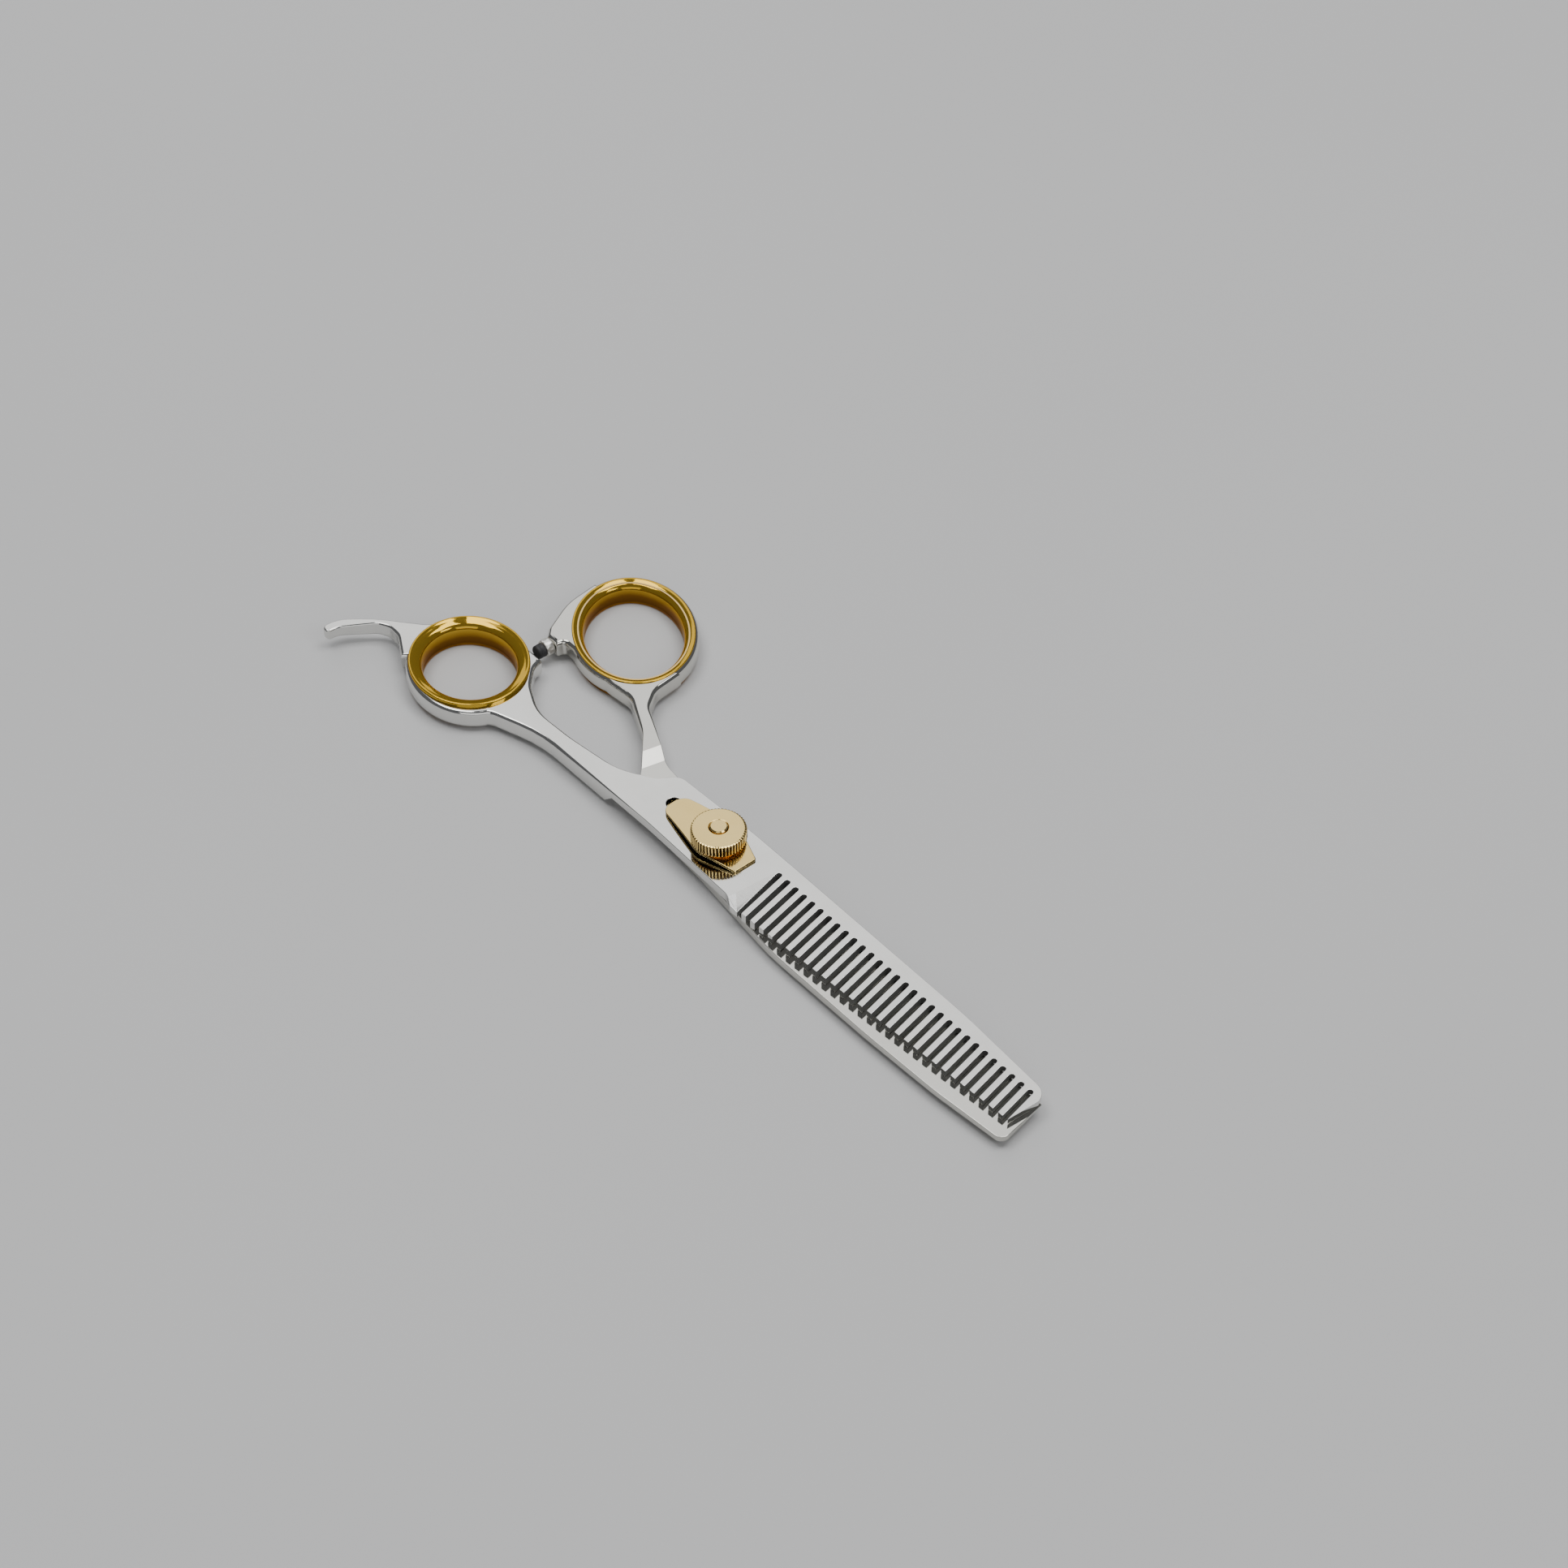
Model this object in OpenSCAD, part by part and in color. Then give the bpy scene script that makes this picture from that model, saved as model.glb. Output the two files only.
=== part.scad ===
// Hairdresser's thinning shears: a slotted comb blade over a plain blade, closed.
// Origin on the pivot axis at the plane the shears lie on, +X along the blades
// to the tips, +Z up through the tension knob. Millimetres.

/* [Blades] */
// Distance between two teeth of the comb, along the blade
tooth_pitch = 2.38; // [2.3:0.02:2.4]
// Number of slots cut into the comb blade
slot_count = 30; // [24:1:30]
// Width of each slot
slot_w = 1.2; // [0.9:0.05:1.3]
// Angle between the slots and the blade's length
slot_angle = 78.6; // [76:0.2:82]
// Thickness of each blade at the pivot
blade_t = 2.1; // [1.9:0.1:2.4]
// Thickness that each blade loses between the first slot and the tip
blade_taper = 0.8; // [0.5:0.05:1]

/* [Handles] */
// Half length of the finger ring's lip, along the handle
finger_a = 13.1; // [12.8:0.05:13.3]
// Half width of the finger ring's lip
finger_b = 11.95; // [11.7:0.05:12]
// Half length of the thumb ring's lip, along the handle
thumb_a = 15.45; // [15.1:0.05:15.7]
// Half width of the thumb ring's lip
thumb_b = 12.3; // [12:0.05:12.5]
// Height that the ring inserts stand proud of the steel
lip_proud = 0.8; // [0.6:0.1:1.2]
// Height that the thumb insert stands proud on the upper side
thumb_lip_proud = 0.25; // [0.2:0.05:0.8]

/* [Tension system] */
// Radius of the knob over its knurling
knob_r = 5.4; // [4.8:0.05:5.6]
// Height of the knob
knob_h = 2.5; // [2.3:0.1:2.8]
// Rise of the knob's domed top above its rim
knob_dome = 0.4; // [0.2:0.05:0.6]
// Number of knurling grooves round the knob
knurl_count = 50; // [36:2:60]
// Height of the arch under the tension plate
arch_h = 0.85; // [0.6:0.05:1]
// Thickness of the tension plate
plate_t = 0.55; // [0.4:0.05:0.6]
// Radius of the screw's thread
thread_r = 1.75; // [1.6:0.05:1.9]

/* [Bumper] */
// Radius of the bumper's metal collar
collar_r = 1.85; // [1.6:0.05:1.9]

/* [Hidden] */

// Levels above the plane that the shears lie on
z_low = lip_proud;
z_mate = z_low + blade_t;
z_top = z_mate + blade_t;
half_gap = 0.05;
z_comb = z_mate + half_gap;
z_plain = z_mate - half_gap;

// Stack of the pivot, from the head upwards
head_r = 4;
head_h = 1;
washer_t = 0.28;
play = 0.02;
counterbore_r = 4.3;
z_counterbore = head_h + washer_t + play;
journal_r = 2.6;
bush_r = 3.4;
blade_washer_r = 4.6;
z_washer_seat = z_comb - play - washer_t;
neck_flat = 1.9;
running = 0.05;
z_neck = z_top - 0.1;
z_crown = z_top + arch_h + plate_t;
thrust_r = 4.2;
thrust_t = 0.43;
z_knob = z_crown + thrust_t + 0.07;
z_rim = z_knob + knob_h;
dome_r = (knob_r * knob_r + knob_dome * knob_dome) / (2 * knob_dome);
screw_stand = 0.3;
z_screw = z_rim + knob_dome + screw_stand;

// Comb
first_root = [13.4, 3.5];
// Rise of the slots' closed ends per unit of length
root_slope = 0.007;
slot_reach = 14;
taper_x = 14;
taper_len = 73;
taper_angle = atan(blade_taper / taper_len);

// Ground facet on the comb, from the pivot area down to the first slot
heel_start = [12.4, 3.1];
heel_turn = -4.8;
heel_tilt = 10;
heel_area = [[12.4, 3.1], [11, -9], [15.9, -9], [13.4, 3.5]];

// Cutting edge of the plain blade
edge_y = 4.45;
bevel_x = 13.4;
bevel_angle = 38;

// Oval rings: centre of the steel, centre of the hole, and lean of the long axis
finger_steel_c = [-69.85, -6.45];
finger_steel_a = 14.25;
finger_steel_b = 12.3;
finger_c = [-70.25, -6.1];
finger_lean = 166.7;
thumb_steel_c = [-56.7, 24.7];
thumb_steel_a = 16.15;
thumb_steel_b = 12.95;
thumb_c = [-56.55, 24.57];
thumb_lean = 150.7;
web_in = 1.4;
// Wall of each insert, in from its lip
finger_waist = 2.7;
thumb_waist = 2.3;
oval_sides = 72;
insert_sides = 56;

// Radii about the pivot at which each handle steps up to its full thickness
comb_step_r = 24.8;
plain_step_r = 26.8;
step_ramp = 2.2;

// Tang: its underside rises by this much from the finger ring to the tip
tang_x = -84.2;
tang_len = 13.4;
tang_rise = 1.9;
tang_angle = atan(tang_rise / tang_len);

// Locating hole that the tension plate's tab drops into
tab_hole = [-13.9, 0.4];
tab_hole_r = 1.55;
arch_x = -3;
arch_half = 11;
arch_r = (arch_half * arch_half + arch_h * arch_h) / (2 * arch_h);

// Bumper, along Y between the two rings
bumper_x = -65.3;
bumper_z = z_mate + 0.4;
stop_y = 5.5;
pad_gap = 1.1;
pad_y = stop_y + pad_gap;
pad_round = 0.5;
collar_y = 8.4;
collar_len = 1.9;
stud_end_y = 13.6;
stud_r = 1.1;
spigot_r = 0.8;
spigot_len = 0.8;

/* ---- Outline functions ---- */

function unit(v) = v / norm(v);

// Rounds the corner at b, between a and c, with radius r
function corner(a, b, c, r) =
    r == 0 ? [b] :
    let (u = unit(a - b),
         w = unit(c - b),
         half = acos(max(-1, min(1, u * w))) / 2,
         mid = b + unit(u + w) * r / sin(half),
         p = b + u * r / tan(half) - mid,
         q = b + w * r / tan(half) - mid,
         from = atan2(p.y, p.x),
         turn = atan2(p.x * q.y - p.y * q.x, p * q),
         steps = max(2, ceil(abs(turn) / 7)))
    [for (i = [0:steps]) mid + r * [cos(from + turn * i / steps),
                                    sin(from + turn * i / steps)]];

function xy(p) = [p.x, p.y];

// Outline through corners given as [x, y, radius]
function rounded(pts) =
    let (n = len(pts))
    [for (i = [0:n - 1])
        each corner(xy(pts[(i + n - 1) % n]), xy(pts[i]), xy(pts[(i + 1) % n]), pts[i].z)];

function oval(a, b, sides) =
    [for (i = [0:sides - 1]) [a * cos(360 * i / sides), b * sin(360 * i / sides)]];

/* ---- Plan shapes ---- */

module placed_oval(centre, lean, a, b, sides = oval_sides) {
    translate(centre) rotate(lean) polygon(oval(a, b, sides));
}

// Comb blade, shank and the shoulder that carries the stop
comb_path = [
    [86.5, -3.2, 0.2], [84.5, 6.1, 3.2], [61.6, 7.2, 120], [2, 6.95, 90],
    [-18.9, 5.9, 3.4], [-21.2, 2, 3], [-28, -1.9, 16], [-41, -3.4, 40],
    [-50.6, -3.9, 12], [-57.4, -0.6, 9], [-61.2, 3.3, 4], [-61.7, stop_y, 0.5],
    [-67, stop_y, 3], [-71, 6.35, 2], [-76, -2, 0], [-70, -14, 0], [-58.8, -14.6, 0],
    [-56.4, -11.4, 3.2], [-46, -7.7, 30], [-14, -6.6, 90], [11, -7.1, 4],
    [13.2, -8.3, 1.2]];

// Hooked rest for the little finger
tang_path = [
    [-82, -2, 0], [-85.3, -6.1, 5], [-93, -13, 30], [-97.6, -18.8, 7],
    [-97.6, -22.5, 1.1], [-95.5, -22.4, 0.9], [-95.4, -20, 5], [-91.2, -13.3, 3],
    [-89, -12, 3], [-86, -12.1, 4], [-80.6, -15.2, 0], [-76, -8, 0]];

module comb_plan() {
    polygon(rounded(comb_path));
    polygon(rounded(tang_path));
    placed_oval(finger_steel_c, finger_lean, finger_steel_a, finger_steel_b);
}

// Plain blade and its shank
plain_path = [
    [86, -6.6, 1.6], [86.5, -5, 1.2], [85, edge_y, 0.3], [12.5, edge_y, 6],
    [6, 6.3, 6], [-15, 6.1, 30], [-24, 7, 8], [-28.2, 8.6, 4], [-37.6, 13.5, 5],
    [-40.4, 17.5, 5], [-41, 24, 0], [-50, 24, 0], [-54, 13, 0], [-50.5, 11.3, 10],
    [-42.3, 12.2, 5], [-33, 7.9, 12], [-28.8, 4.5, 4], [-24.6, 0.4, 8],
    [-13, -5.2, 16], [2, -6.2, 30], [12.5, -7.3, 20], [25, -8.75, 60], [52, -8.6, 60],
    [70, -8, 60]];

// Shoulder of the thumb ring that the bumper screws into
thumb_boss_path = [
    [-72.7, 27.5, 0], [-71.9, 19.5, 14], [-68.3, 12.2, 3], [-66.5, 10.4, 1],
    [-63.3, 10.4, 0.5], [-62.9, 12.1, 0.9], [-55, 12.3, 0], [-56, 20, 0], [-66, 28, 0]];

module plain_plan() {
    polygon(rounded(plain_path));
    polygon(rounded(thumb_boss_path));
    placed_oval(thumb_steel_c, thumb_lean, thumb_steel_a, thumb_steel_b);
}

/* ---- Blades ---- */

module comb_slot(k) {
    along = k * tooth_pitch;
    translate([first_root.x + along, first_root.y + along * root_slope, z_low - 1])
    rotate(-slot_angle) {
        cylinder(h = 2 * blade_t + 2, r = slot_w / 2, $fn = 24);
        translate([0, -slot_w / 2, 0]) cube([slot_reach, slot_w, 2 * blade_t + 2]);
    }
}

module heel_facet() {
    intersection() {
        translate([0, 0, z_mate]) linear_extrude(blade_t + 1) polygon(heel_area);
        translate([heel_start.x, heel_start.y, z_top]) rotate([0, 0, heel_turn]) rotate([0, heel_tilt, 0])
            translate([0, -15, 0]) cube([8, 30, 4]);
    }
}

// Space that the other blade sweeps, with a ramp up to the handle
module step_space(r, from_z, to_z) {
    rise = abs(to_z - from_z);
    low = min(from_z, to_z);
    translate([0, 0, low]) {
        if (from_z > to_z) cylinder(h = rise, r1 = r + step_ramp, r2 = r, $fn = 120);
        else cylinder(h = rise, r1 = r, r2 = r + step_ramp, $fn = 120);
        translate([0, -30, 0]) cube([100, 60, rise]);
    }
}

module screw_neck(extra, h) {
    intersection() {
        cylinder(h = h, r = journal_r + extra, $fn = 64);
        translate([-journal_r - 1, -neck_flat - extra, 0])
            cube([2 * journal_r + 2, 2 * (neck_flat + extra), h]);
    }
}

module comb_blade() {
    color([0.80, 0.80, 0.79])
    difference() {
        translate([0, 0, z_low]) linear_extrude(2 * blade_t) comb_plan();
        translate([0, 0, -1]) linear_extrude(12)
            placed_oval(finger_c, finger_lean, finger_a - web_in, finger_b - web_in, insert_sides);
        step_space(comb_step_r, z_comb, z_low - 1);
        translate([taper_x, -30, z_top]) rotate([0, taper_angle, 0]) cube([100, 60, 4]);
        translate([tang_x, -30, z_low]) rotate([0, tang_angle, 0])
            translate([-20, 0, -5]) cube([20, 40, 5]);
        for (k = [0:slot_count - 1]) comb_slot(k);
        heel_facet();
        translate([0, 0, z_low]) screw_neck(running, 2 * blade_t + 1);
        translate([tab_hole.x, tab_hole.y, z_low]) cylinder(h = 2 * blade_t + 1, r = tab_hole_r, $fn = 48);
    }
}

module plain_blade() {
    color([0.76, 0.76, 0.74])
    difference() {
        translate([0, 0, z_low]) linear_extrude(2 * blade_t) plain_plan();
        translate([0, 0, -1]) linear_extrude(12)
            placed_oval(thumb_c, thumb_lean, thumb_a - web_in, thumb_b - web_in, insert_sides);
        step_space(plain_step_r, z_plain, z_top + 1);
        translate([taper_x, -30, z_low]) rotate([0, -taper_angle, 0])
            translate([0, 0, -4]) cube([100, 60, 4]);
        // ground bevel that makes the cutting edge
        translate([bevel_x, edge_y, z_plain]) rotate([-bevel_angle, 0, 0])
            translate([0, 0, -5]) cube([80, 6, 5]);
        translate([0, 0, z_low - 1]) cylinder(h = z_counterbore - z_low + 1, r = counterbore_r, $fn = 64);
        translate([0, 0, z_low]) cylinder(h = blade_t, r = bush_r, $fn = 64);
        translate([0, 0, z_washer_seat]) cylinder(h = 1, r = blade_washer_r + running, $fn = 64);
        along_y(collar_y) cylinder(h = stud_end_y - collar_y + 0.2, r = stud_r, $fn = 32);
    }
}

/* ---- Ring inserts ---- */

// Section as [distance in from the lip, height]: a shallow flare, then a straight wall
function insert_section(top, waist) = [
    [0.3, 0], [0, 0.3], [0, z_low], [web_in + play, z_low], [web_in + play, z_top],
    [0, z_top], [0, top - min(0.2, (top - z_top) / 2)], [0.15, top], [0.45, top],
    [waist - 1.2, top - 0.3], [waist - 0.6, top - 0.62], [waist - 0.2, top - 1.02],
    [waist, top - 1.6], [waist, 0.3], [waist - 0.3, 0]];

module oval_ring(section, a, b) {
    n = len(section);
    points = [for (i = [0:insert_sides - 1], p = section)
        let (angle = 360 * i / insert_sides)
        [(a - p.x) * cos(angle), (b - p.x) * sin(angle), p.y]];
    faces = [for (i = [0:insert_sides - 1], j = [0:n - 1])
        let (next_i = (i + 1) % insert_sides, next_j = (j + 1) % n)
        [i * n + j, i * n + next_j, next_i * n + next_j, next_i * n + j]];
    polyhedron(points, faces);
}

module finger_ring_insert() {
    color([0.85, 0.55, 0.10])
    translate(finger_c) rotate(finger_lean)
        oval_ring(insert_section(z_top + lip_proud, finger_waist), finger_a, finger_b);
}

module thumb_ring_insert() {
    color([0.85, 0.55, 0.10])
    translate(thumb_c) rotate(thumb_lean)
        oval_ring(insert_section(z_top + thumb_lip_proud, thumb_waist), thumb_a, thumb_b);
}

/* ---- Pivot ---- */

module ring(r_out, r_in, h) {
    difference() {
        cylinder(h = h, r = r_out, $fn = 64);
        translate([0, 0, -1]) cylinder(h = h + 2, r = r_in, $fn = 64);
    }
}

module pivot_screw() {
    color([0.85, 0.70, 0.35]) {
        rotate_extrude($fn = 64) polygon([
            [0, 0], [head_r - 0.3, 0], [head_r, 0.3], [head_r, head_h],
            [journal_r, head_h], [journal_r, z_comb], [0, z_comb]]);
        translate([0, 0, z_comb]) screw_neck(0, z_neck - z_comb);
        rotate_extrude($fn = 64) polygon([
            [0, z_neck], [thread_r, z_neck], [thread_r, z_screw - 0.25],
            [thread_r - 0.25, z_screw], [0, z_screw]]);
    }
}

module head_washer() {
    color([0.93, 0.93, 0.90])
    translate([0, 0, head_h]) ring(head_r, journal_r + running, washer_t);
}

module pivot_bush() {
    color([0.93, 0.93, 0.90])
    translate([0, 0, z_counterbore]) ring(bush_r, journal_r + running, z_washer_seat - z_counterbore);
}

module blade_washer() {
    color([0.93, 0.93, 0.90])
    translate([0, 0, z_washer_seat]) ring(blade_washer_r, journal_r + running, washer_t);
}

/* ---- Tension system ---- */

module arch(r) {
    translate([arch_x, 0, z_top + arch_h - arch_r])
    rotate([90, 0, 0])
    translate([0, 0, -10])
    cylinder(h = 20, r = r, $fn = 360);
}

plate_path = [
    [-13.9, -2.6, 2.4], [-0.5, -5.15, 5], [7.8, -2.6, 0.4],
    [7.8, 2.6, 0.4], [-0.5, 5.15, 5], [-13.9, 2.6, 2.4]];

module tension_plate() {
    color([0.88, 0.76, 0.45])
    difference() {
        union() {
            difference() {
                intersection() {
                    translate([0, 0, z_top - 1]) linear_extrude(5) polygon(rounded(plate_path));
                    arch(arch_r + plate_t);
                }
                arch(arch_r);
            }
            // tab bent down into the locating hole
            translate([tab_hole.x - 0.25, tab_hole.y - 0.9, z_top - 1.2]) cube([plate_t, 1.8, 1.45]);
        }
        cylinder(h = 20, r = thread_r + 0.15, $fn = 64);
    }
}

module thrust_washer() {
    color([0.80, 0.50, 0.20])
    translate([0, 0, z_crown + play]) ring(thrust_r, thread_r + running, thrust_t);
}

function dome_z(r) = z_rim + knob_dome - dome_r + sqrt(dome_r * dome_r - r * r);

module tension_knob() {
    groove_r = 0.22;
    bore_r = thread_r + running;
    edge_r = knob_r - 0.25;
    color([0.88, 0.76, 0.45])
    difference() {
        rotate_extrude($fn = 120) polygon(concat(
            [[bore_r, z_knob], [edge_r, z_knob], [knob_r, z_knob + 0.25], [knob_r, z_rim - 0.25]],
            [for (i = [0:4]) let (r = edge_r + (bore_r + 0.2 - edge_r) * i / 4) [r, dome_z(r)]],
            [[bore_r, dome_z(bore_r) - 0.2]]));
        for (i = [0:knurl_count - 1])
            rotate(360 * i / knurl_count) translate([knob_r + 0.03, 0, z_knob - 1])
                cylinder(h = knob_h + 2, r = groove_r, $fn = 6);
        translate([0, 0, z_knob - 1]) cylinder(h = 1.8, r = 3, $fn = 64);
    }
}

module knob_friction_ring() {
    color([0.95, 0.95, 0.92])
    translate([0, 0, z_knob]) ring(3, thread_r + running, 0.8);
}

/* ---- Bumper ---- */

module along_y(y) {
    translate([bumper_x, y, bumper_z]) rotate([-90, 0, 0]) children();
}

module bumper_stud() {
    color([0.62, 0.62, 0.60]) {
        along_y(collar_y) rotate_extrude($fn = 48) polygon([
            [0, 0], [collar_r - 0.2, 0], [collar_r, 0.2], [collar_r, collar_len - 0.2],
            [collar_r - 0.2, collar_len], [stud_r, collar_len],
            [stud_r, stud_end_y - collar_y], [0, stud_end_y - collar_y]]);
        along_y(collar_y - spigot_len) cylinder(h = spigot_len, r = spigot_r, $fn = 32);
    }
}

module bumper_pad() {
    pad_len = collar_y - pad_y;
    pad_r = collar_r - 0.4;
    color([0.10, 0.10, 0.10])
    along_y(pad_y)
    difference() {
        rotate_extrude($fn = 48) polygon(concat(
            [[0, pad_len], [0, 0]],
            [for (i = [0:6]) [pad_r - pad_round + pad_round * sin(15 * i),
                              pad_round * (1 - cos(15 * i))]],
            [[pad_r, pad_len]]));
        translate([0, 0, pad_len - spigot_len]) cylinder(h = spigot_len + 1, r = spigot_r, $fn = 32);
    }
}

comb_blade();
plain_blade();
finger_ring_insert();
thumb_ring_insert();
pivot_screw();
head_washer();
pivot_bush();
blade_washer();
tension_plate();
thrust_washer();
tension_knob();
knob_friction_ring();
bumper_stud();
bumper_pad();
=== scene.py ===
"""Looks for the thinning shears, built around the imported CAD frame."""
import math

import bmesh
import bpy
import numpy as np
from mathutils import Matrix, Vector
from mathutils.geometry import tessellate_polygon


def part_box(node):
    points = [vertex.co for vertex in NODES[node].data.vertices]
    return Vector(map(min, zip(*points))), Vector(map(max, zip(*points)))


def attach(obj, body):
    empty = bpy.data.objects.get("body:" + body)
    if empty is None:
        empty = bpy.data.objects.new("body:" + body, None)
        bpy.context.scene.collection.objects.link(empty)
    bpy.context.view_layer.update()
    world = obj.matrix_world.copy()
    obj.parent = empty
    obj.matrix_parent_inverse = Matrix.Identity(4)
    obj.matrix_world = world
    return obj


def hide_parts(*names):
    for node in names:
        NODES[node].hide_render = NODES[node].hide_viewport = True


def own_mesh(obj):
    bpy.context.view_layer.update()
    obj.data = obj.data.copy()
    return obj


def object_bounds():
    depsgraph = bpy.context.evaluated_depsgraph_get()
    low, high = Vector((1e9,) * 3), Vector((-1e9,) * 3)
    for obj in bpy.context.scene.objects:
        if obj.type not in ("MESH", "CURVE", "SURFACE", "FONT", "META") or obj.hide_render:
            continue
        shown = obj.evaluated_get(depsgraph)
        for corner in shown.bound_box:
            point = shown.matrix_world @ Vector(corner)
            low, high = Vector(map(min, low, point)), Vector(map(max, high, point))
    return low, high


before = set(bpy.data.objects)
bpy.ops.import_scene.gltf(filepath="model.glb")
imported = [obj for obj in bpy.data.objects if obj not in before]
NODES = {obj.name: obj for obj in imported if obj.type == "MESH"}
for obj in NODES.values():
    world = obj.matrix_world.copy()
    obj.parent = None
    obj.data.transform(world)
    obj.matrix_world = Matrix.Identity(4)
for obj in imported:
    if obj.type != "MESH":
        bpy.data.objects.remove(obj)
CAD_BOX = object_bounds()
MM = 0.001


def box_mm(node):
    low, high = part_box(node)
    return np.array(low) / MM, np.array(high) / MM


# ---------------------------------------------------------------- outlines

def section(node, z):
    """Closed outlines of a CAD node at height z, in mm: outer ones run anticlockwise, holes clockwise."""
    mesh = NODES[node].data
    mesh.calc_loop_triangles()
    points = np.array([v.co for v in mesh.vertices], float) / MM
    keys, merged = np.unique(np.round(points, 3), axis=0, return_inverse=True)
    merged = merged.ravel()
    above = keys[:, 2] > z
    links, where = {}, {}
    for tri in mesh.loop_triangles:
        ids = [merged[i] for i in tri.vertices]
        cut = []
        for a, b in ((0, 1), (1, 2), (2, 0)):
            i, j = ids[a], ids[b]
            if above[i] != above[j]:
                key = (min(i, j), max(i, j))
                if key not in where:
                    p, q = keys[key[0]], keys[key[1]]
                    t = (z - p[2]) / (q[2] - p[2])
                    where[key] = (p + t * (q - p))[:2]
                cut.append(key)
        if len(cut) == 2 and cut[0] != cut[1]:
            links.setdefault(cut[0], []).append(cut[1])
            links.setdefault(cut[1], []).append(cut[0])
    loops, left = [], set(links)
    while left:
        start = min(left)
        left.discard(start)
        walk, here = [start], start
        while True:
            after = [k for k in links[here] if k in left]
            if not after:
                break
            here = after[0]
            left.discard(here)
            walk.append(here)
        loops.append(clean(np.array([where[k] for k in walk])))
    loops = [l for l in loops if len(l) > 3]
    size = [area(l) for l in loops]
    outer = int(np.argmax(np.abs(size)))
    out = [loops[outer] if size[outer] > 0 else loops[outer][::-1]]
    for k, l in enumerate(loops):
        if k != outer:
            out.append(l if size[k] < 0 else l[::-1])
    return out


def area(loop):
    x, y = loop[:, 0], loop[:, 1]
    return 0.5 * float(np.sum(x * np.roll(y, -1) - np.roll(x, -1) * y))


def clean(loop):
    """Drops repeated points and points on a straight line between their neighbours."""
    gap = np.linalg.norm(loop - np.roll(loop, 1, axis=0), axis=1)
    loop = loop[gap > 0.004]
    before, after = np.roll(loop, 1, axis=0), np.roll(loop, -1, axis=0)
    u, w = loop - before, after - loop
    span = np.maximum(np.linalg.norm(after - before, axis=1), 1e-9)
    off = np.abs(u[:, 0] * w[:, 1] - u[:, 1] * w[:, 0]) / span
    return loop[off > 0.0015]


def rounded(path, step=8):
    """Outline through [x, y, radius] corners."""
    out, n = [], len(path)
    for i in range(n):
        a, b, c = (np.array(path[(i + k) % n][:2], float) for k in (-1, 0, 1))
        r = path[i][2]
        u, w = (a - b) / np.linalg.norm(a - b), (c - b) / np.linalg.norm(c - b)
        half = math.acos(max(-1.0, min(1.0, float(u @ w)))) / 2
        mid = b + (u + w) / np.linalg.norm(u + w) * r / math.sin(half)
        p, q = b + u * r / math.tan(half) - mid, b + w * r / math.tan(half) - mid
        start = math.atan2(p[1], p[0])
        turn = math.atan2(p[0] * q[1] - p[1] * q[0], float(p @ q))
        steps = max(2, math.ceil(abs(math.degrees(turn)) / step))
        for k in range(steps + 1):
            angle = start + turn * k / steps
            out.append(mid + r * np.array([math.cos(angle), math.sin(angle)]))
    out = np.array(out)
    return out if area(out) > 0 else out[::-1]


def miters(loop):
    """Unit-inset vectors that point into the material, which lies on the left of every outline."""
    u = loop - np.roll(loop, 1, axis=0)
    w = np.roll(loop, -1, axis=0) - loop
    n1 = np.c_[-u[:, 1], u[:, 0]] / np.linalg.norm(u, axis=1)[:, None]
    n2 = np.c_[-w[:, 1], w[:, 0]] / np.linalg.norm(w, axis=1)[:, None]
    both = n1 + n2
    scale = np.maximum(1 + np.sum(n1 * n2, axis=1), 0.35)
    return both / scale[:, None]


def smoothstep(x, lo, hi):
    t = np.clip((x - lo) / (hi - lo), 0, 1)
    return t * t * (3 - 2 * t)


# ---------------------------------------------------------------- meshes

def finish_mesh(bm, name, sharp=32.0, creases=()):
    """Makes the object, with sharp edges above an angle and along the creases, vertical planes in mm."""
    bmesh.ops.remove_doubles(bm, verts=bm.verts, dist=1e-7)
    bmesh.ops.recalc_face_normals(bm, faces=bm.faces)
    for f in bm.faces:
        f.smooth = True
    limit, crease = math.radians(sharp), math.radians(3)
    for e in bm.edges:
        if len(e.link_faces) == 2:
            angle = e.calc_face_angle(0.0)
            e.smooth = angle < limit
            if e.smooth and angle > crease:
                for point, normal in creases:
                    off = [abs((v.co.x / MM - point[0]) * normal[0] + (v.co.y / MM - point[1]) * normal[1])
                           for v in e.verts]
                    if max(off) < 0.003:
                        e.smooth = False
    mesh = bpy.data.meshes.new(name)
    bm.to_mesh(mesh)
    bm.free()
    obj = bpy.data.objects.new(name, mesh)
    bpy.context.scene.collection.objects.link(obj)
    mod = obj.modifiers.new("weighted", "WEIGHTED_NORMAL")
    mod.keep_sharp = True
    return obj


ROUND_STEPS = 6


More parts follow.
